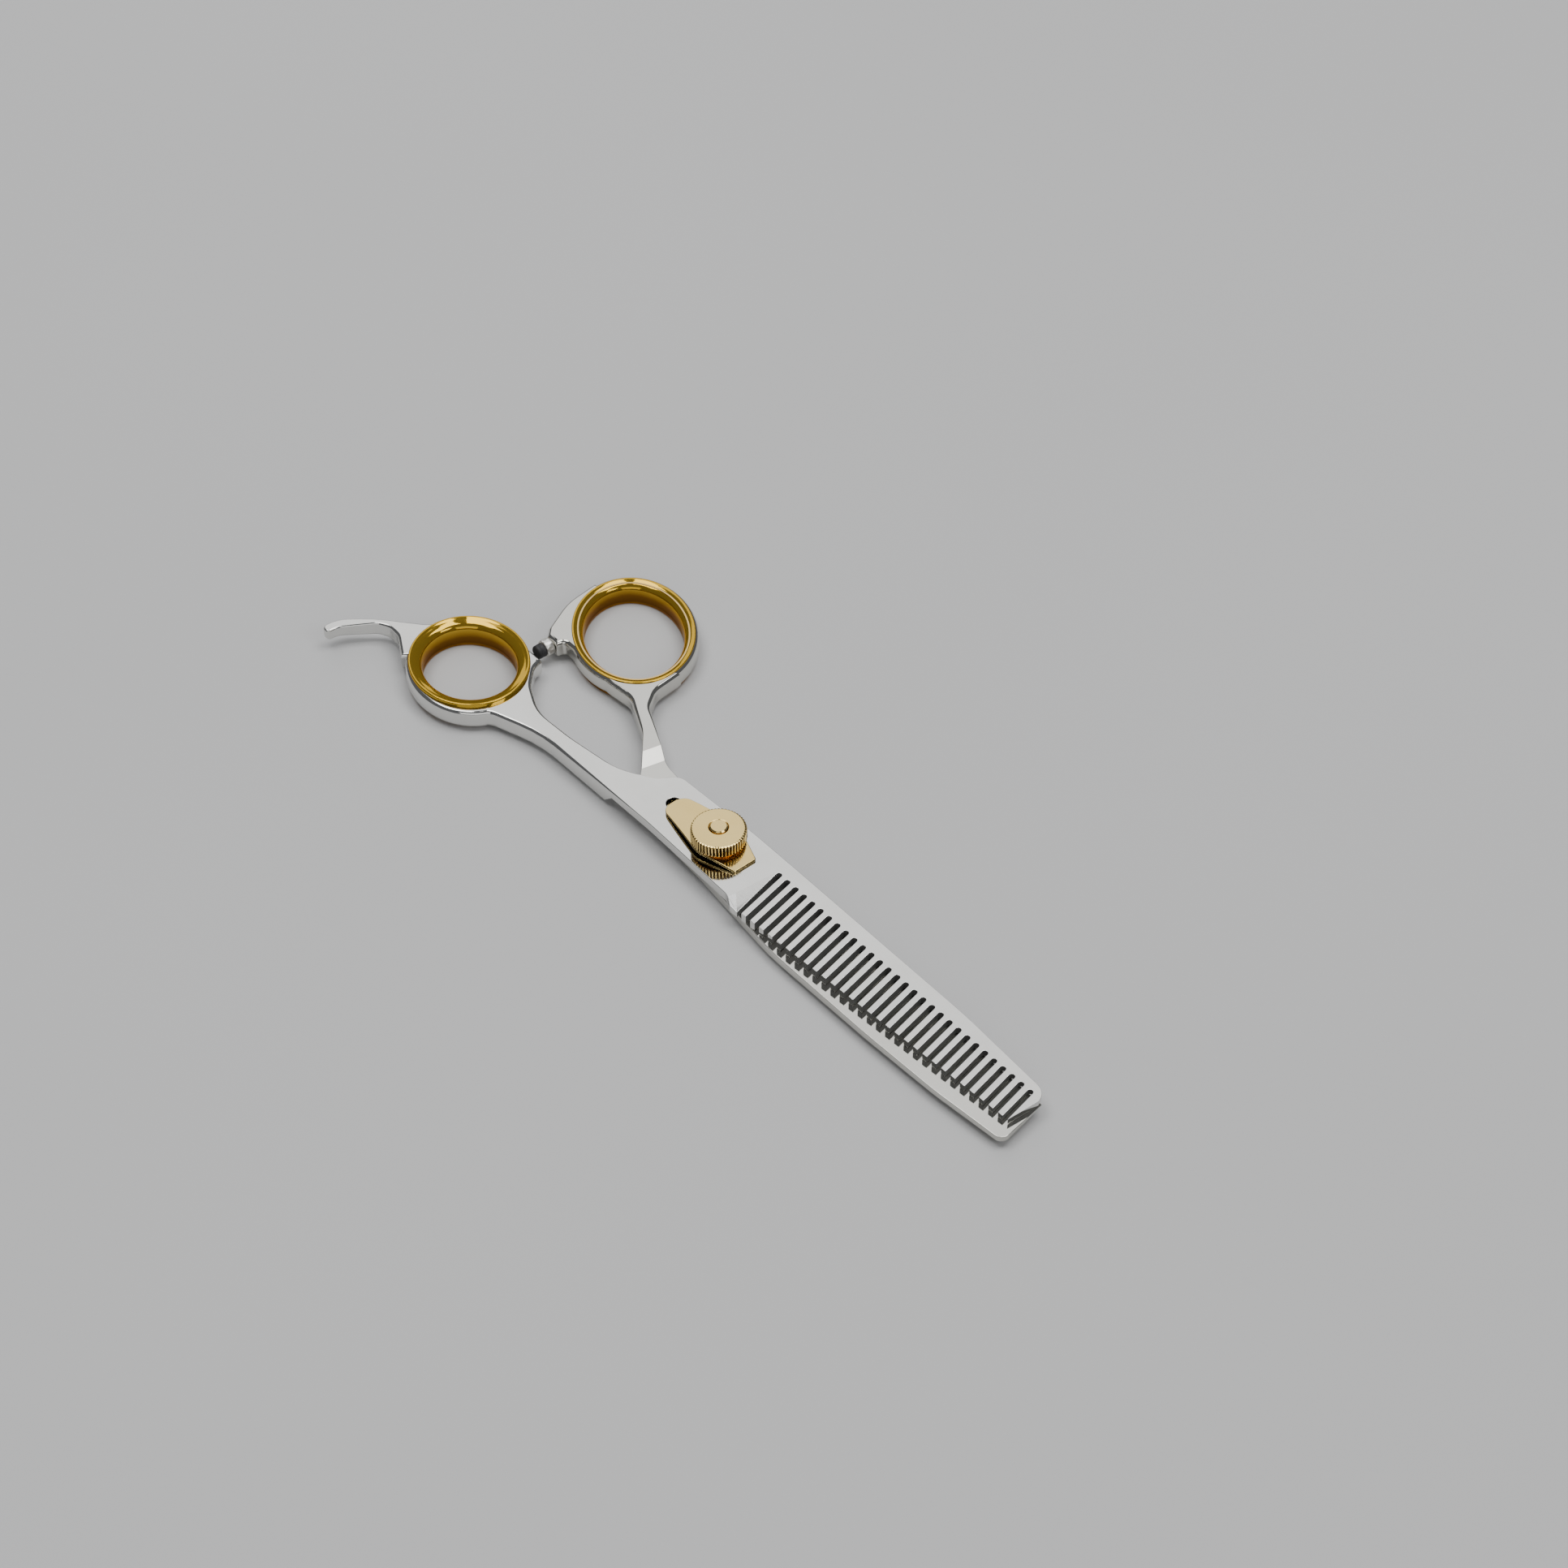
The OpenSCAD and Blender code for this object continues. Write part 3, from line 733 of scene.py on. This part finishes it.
pad_r, pad_len = (pad_high[0] - pad_low[0]) / 2, pad_high[1] - pad_low[1]
dome = [(pad_r - 0.5 + 0.5 * math.sin(math.radians(9 * k)), 0.5 * (1 - math.cos(math.radians(9 * k))))
        for k in range(11)]
pad_profile = [(0.25, 0.02)] + dome + [(pad_r, 0.9), (pad_r - 0.05, 1.0), (pad_r - 0.05, 1.1), (pad_r, 1.2),
                                       (pad_r, pad_len - 0.05), (pad_r - 0.05, pad_len), (0.83, pad_len),
                                       (0.83, pad_len - 0.78), (0.25, pad_len - 0.78)]
bm = place(lathe(pad_profile, 72), (axis_x, pad_low[1], axis_z), (1, 0, 0), (0, 0, -1), (0, 1, 0))
dress(finish_mesh(to_metres(bm), "bumper_rubber", sharp=45), black_rubber,
      "plain_half", "black_rubber", "bumper_pad")


# ---------------------------------------------------------------- CAD nodes that stay

for name, mat, slot in (("pivot_screw", gold, "gold_plate"), ("head_washer", white_nylon, "nylon"),
                        ("pivot_bush", white_nylon, "nylon"), ("blade_washer", white_nylon, "nylon"),
                        ("thrust_washer", brass, "brass_washer"), ("knob_friction_ring", white_nylon, "nylon")):
    obj = NODES[name]
    obj.data.materials.clear()
    obj.data.materials.append(mat)


# ---------------------------------------------------------------- stage, light and camera

AZIMUTH, ELEVATION = math.radians(49.85), math.radians(45.41)
DISTANCE, LENS = 0.7656, 91.65
TARGET = Vector((-4.33, 19.72, 5.0)) * MM


def toward(azimuth, elevation):
    """Unit vector from the object, where azimuth 0 looks from -Y and 90 from +X."""
    flat = math.cos(elevation)
    return Vector((math.sin(azimuth) * flat, -math.cos(azimuth) * flat, math.sin(elevation)))


back = toward(AZIMUTH, ELEVATION)
camera_data = bpy.data.cameras.new("camera")
camera_data.sensor_width, camera_data.lens = 36, LENS
camera_data.clip_start, camera_data.clip_end = 0.05, 50
camera = bpy.data.objects.new("camera", camera_data)
camera.location = TARGET + back * DISTANCE
camera.rotation_mode = "QUATERNION"
camera.rotation_quaternion = (-back).to_track_quat("-Z", "Y")
bpy.context.scene.collection.objects.link(camera)
bpy.context.scene.camera = camera


def softbox(name, azimuth, elevation, distance, size, power, size_y=None):
    data = bpy.data.lights.new(name, "AREA")
    data.shape = "RECTANGLE"
    data.size, data.size_y = size, size_y or size
    data.energy = power
    light = bpy.data.objects.new(name, data)
    out = toward(math.radians(azimuth), math.radians(elevation))
    light.location = TARGET + out * distance
    light.rotation_mode = "QUATERNION"
    light.rotation_quaternion = (-out).to_track_quat("-Z", "Y")
    bpy.context.scene.collection.objects.link(light)


def overhead(name, side, near, height, size, size_y, power):
    """A level softbox above the object, moved sideways and toward the camera by so many metres."""
    data = bpy.data.lights.new(name, "AREA")
    data.shape = "RECTANGLE"
    data.size, data.size_y, data.energy = size, size_y, power
    light = bpy.data.objects.new(name, data)
    light.location = TARGET + Vector((math.cos(AZIMUTH), math.sin(AZIMUTH), 0)) * side \
        + toward(AZIMUTH, 0) * near + Vector((0, 0, height))
    light.rotation_euler = (0, 0, AZIMUTH)
    bpy.context.scene.collection.objects.link(light)


softbox("mirror_box", 241, 42, 1.3, 0.88, 4.5, size_y=1.2)
overhead("over_left", -0.52, -0.13, 1.4, 0.72, 0.7, 8.0)
overhead("over_right", 0.46, -0.13, 1.4, 0.86, 0.7, 9.6)
softbox("right_box", 101, 41, 1.3, 0.5, 2.6)
softbox("front_box", 45, 26, 1.3, 1.1, 3.0, size_y=0.9)

world = bpy.data.worlds.new("studio")
world.use_nodes = True
world.node_tree.nodes["Background"].inputs["Color"].default_value = (0.86, 0.88, 0.92, 1)
world.node_tree.nodes["Background"].inputs["Strength"].default_value = 0.15
bpy.context.scene.world = world

floor_bm = bmesh.new()
bmesh.ops.create_grid(floor_bm, x_segments=8, y_segments=8, size=6.0)
floor_mesh = bpy.data.meshes.new("floor")
floor_bm.to_mesh(floor_mesh)
floor_bm.free()
floor = bpy.data.objects.new("floor", floor_mesh)
floor.location = (0, 0, CAD_BOX[0].z - 0.00002)
bpy.context.scene.collection.objects.link(floor)
floor_mat, floor_tree, floor_bsdf = material("pale_floor")
floor_tree.links.new(ramp(floor_tree, noise(floor_tree, 3, 2), [(0.3, 0.56), (0.7, 0.59)]),
                     floor_bsdf.inputs["Base Color"])
floor_bsdf.inputs["Roughness"].default_value = 0.85
floor_mesh.materials.append(floor_mat)
